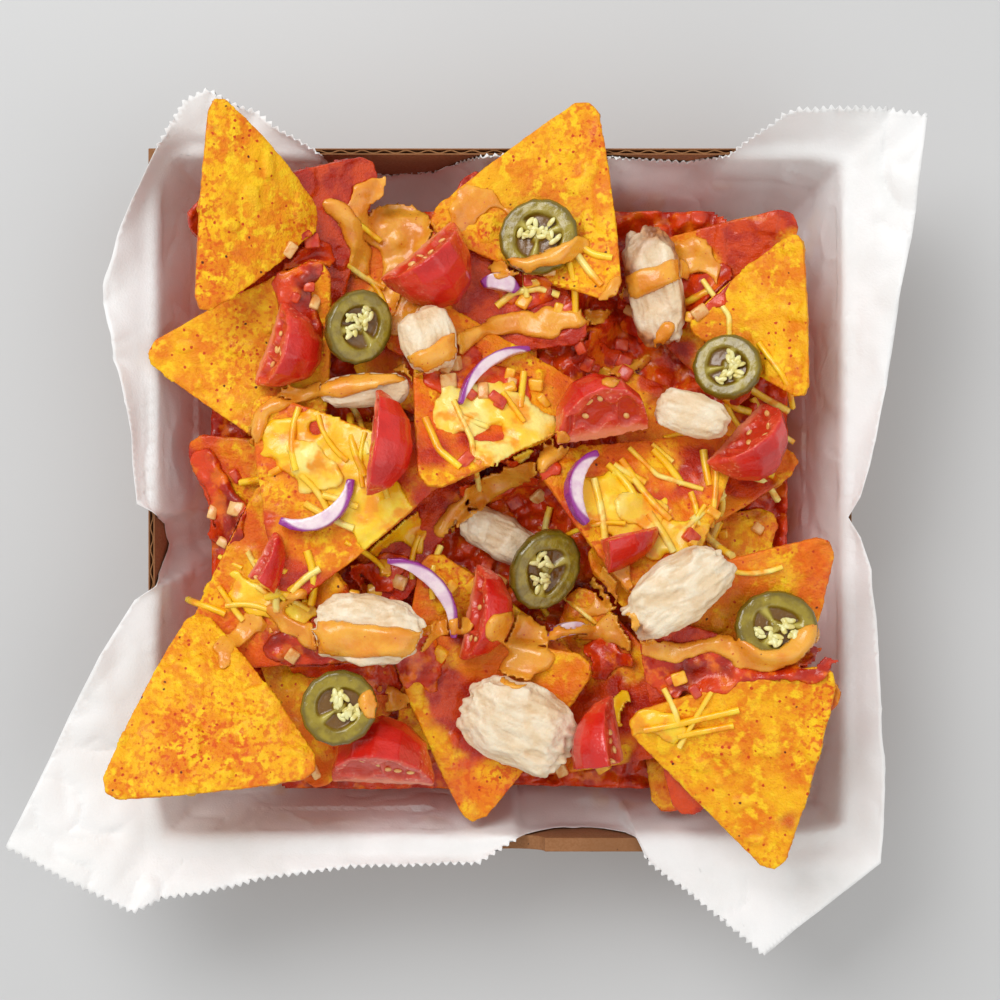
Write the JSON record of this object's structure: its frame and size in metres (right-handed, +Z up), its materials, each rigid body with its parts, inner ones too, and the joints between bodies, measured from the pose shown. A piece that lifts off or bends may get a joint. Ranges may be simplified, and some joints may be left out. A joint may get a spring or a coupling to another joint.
{
  "type": "loaded nachos in a lined cardboard box",
  "caption": "Square open corrugated box lined with white paper and heaped with triangular corn chips, chicken, tomato wedges, jalapeno slices, red onion, melted cheese and orange sauce.",
  "frame": {"origin": "centre of the underside of the box, on the table", "axes": "+Z up, +X to the right and +Y to the back of the box, whose thumb notch is in the front wall"},
  "size_m": [0.2633, 0.2484, 0.0865],
  "materials": {
    "box": "matt brown corrugated board",
    "paper": "white greaseproof paper, slightly glossy",
    "filling": "glossy red-brown salsa and broken chips",
    "chip_back_right_low": "fried corn chip, matt with red seasoning and oily spots",
    "chip_middle_low": "fried corn chip, matt with red seasoning and oily spots",
    "chip_front_left_low": "fried corn chip, matt with red seasoning and oily spots",
    "chip_front_right_low": "fried corn chip, matt with red seasoning and oily spots",
    "chip_front_low": "fried corn chip, matt with red seasoning and oily spots",
    "chip_right_low": "fried corn chip, matt with red seasoning and oily spots",
    "chip_right_tip": "fried corn chip, matt with red seasoning and oily spots",
    "chip_left_dark": "fried corn chip, matt with red seasoning and oily spots",
    "chip_left_front": "fried corn chip, matt with red seasoning and oily spots",
    "chip_cheesy_back": "fried corn chip, matt with red seasoning and oily spots",
    "chip_red_edge": "fried corn chip, matt with red seasoning and oily spots",
    "chip_left_big": "fried corn chip, matt with red seasoning and oily spots",
    "chip_middle_back": "fried corn chip, matt with red seasoning and oily spots",
    "chip_back_saucy": "fried corn chip, matt with red seasoning and oily spots",
    "chip_back_tip": "fried corn chip, matt with red seasoning and oily spots",
    "chicken_back": "roast chicken, slightly moist",
    "chip_right_curled": "fried corn chip, matt with red seasoning and oily spots",
    "chip_back_left_curled": "fried corn chip, matt with red seasoning and oily spots",
    "chip_melt_left": "fried corn chip, matt with red seasoning and oily spots",
    "chip_melt_middle": "fried corn chip, matt with red seasoning and oily spots",
    "chip_melt_right": "fried corn chip, matt with red seasoning and oily spots",
    "chip_right_front": "fried corn chip, matt with red seasoning and oily spots",
    "chip_saucy_front": "fried corn chip, matt with red seasoning and oily spots",
    "chip_front_middle": "fried corn chip, matt with red seasoning and oily spots",
    "chip_front_curled": "fried corn chip, matt with red seasoning and oily spots",
    "chip_front_left_edge": "fried corn chip, matt with red seasoning and oily spots",
    "chip_front_right_top": "fried corn chip, matt with red seasoning and oily spots",
    "tomato_buried": "wet tomato skin and flesh",
    "tomato_left": "wet tomato skin and flesh",
    "tomato_back": "wet tomato skin and flesh",
    "chicken_left_back": "roast chicken, slightly moist",
    "onion_back": "raw red onion, wet",
    "jalapeno_back": "pickled green pepper, wet",
    "chicken_left": "roast chicken, slightly moist",
    "jalapeno_left": "pickled green pepper, wet",
    "jalapeno_right": "pickled green pepper, wet",
    "onion_left": "raw red onion, wet",
    "tomato_middle": "wet tomato skin and flesh",
    "onion_middle": "raw red onion, wet",
    "tomato_right_middle": "wet tomato skin and flesh",
    "chicken_right": "roast chicken, slightly moist",
    "tomato_right": "wet tomato skin and flesh",
    "onion_right": "raw red onion, wet",
    "chicken_middle": "roast chicken, slightly moist",
    "jalapeno_middle": "pickled green pepper, wet",
    "chicken_curved": "roast chicken, slightly moist",
    "tomato_small": "wet tomato skin and flesh",
    "jalapeno_far_right": "pickled green pepper, wet",
    "tomato_front_middle": "wet tomato skin and flesh",
    "onion_front": "raw red onion, wet",
    "chicken_front_left": "roast chicken, slightly moist",
    "onion_small": "raw red onion, wet",
    "chicken_front": "roast chicken, slightly moist",
    "tomato_front": "wet tomato skin and flesh",
    "tomato_front_left": "wet tomato skin and flesh",
    "jalapeno_front": "pickled green pepper, wet"
  },
  "bodies": {
    "root": {"box": "box", "paper": "paper", "filling": "filling", "chip_back_right_low": "chip_back_right_low", "chip_middle_low": "chip_middle_low", "chip_front_left_low": "chip_front_left_low", "chip_front_right_low": "chip_front_right_low", "chip_front_low": "chip_front_low", "chip_right_low": "chip_right_low", "chip_right_tip": "chip_right_tip", "chip_left_dark": "chip_left_dark", "chip_left_front": "chip_left_front", "chip_cheesy_back": "chip_cheesy_back", "chip_red_edge": "chip_red_edge", "chip_left_big": "chip_left_big", "chip_middle_back": "chip_middle_back", "chip_back_saucy": "chip_back_saucy", "chip_back_tip": "chip_back_tip", "chicken_back": "chicken_back", "chip_right_curled": "chip_right_curled", "chip_back_left_curled": "chip_back_left_curled", "chip_melt_left": "chip_melt_left", "chip_melt_middle": "chip_melt_middle", "chip_melt_right": "chip_melt_right", "chip_right_front": "chip_right_front", "chip_saucy_front": "chip_saucy_front", "chip_front_middle": "chip_front_middle", "chip_front_curled": "chip_front_curled", "chip_front_left_edge": "chip_front_left_edge", "chip_front_right_top": "chip_front_right_top", "tomato_buried": "tomato_buried", "tomato_left": "tomato_left", "tomato_back": "tomato_back", "chicken_left_back": "chicken_left_back", "onion_back": "onion_back", "jalapeno_back": "jalapeno_back", "chicken_left": "chicken_left", "jalapeno_left": "jalapeno_left", "jalapeno_right": "jalapeno_right", "onion_left": "onion_left", "tomato_middle": "tomato_middle", "onion_middle": "onion_middle", "tomato_right_middle": "tomato_right_middle", "chicken_right": "chicken_right", "tomato_right": "tomato_right", "onion_right": "onion_right", "chicken_middle": "chicken_middle", "jalapeno_middle": "jalapeno_middle", "chicken_curved": "chicken_curved", "tomato_small": "tomato_small", "jalapeno_far_right": "jalapeno_far_right", "tomato_front_middle": "tomato_front_middle", "onion_front": "onion_front", "chicken_front_left": "chicken_front_left", "onion_small": "onion_small", "chicken_front": "chicken_front", "tomato_front": "tomato_front", "tomato_front_left": "tomato_front_left", "jalapeno_front": "jalapeno_front"}
  },
  "joints": []
}
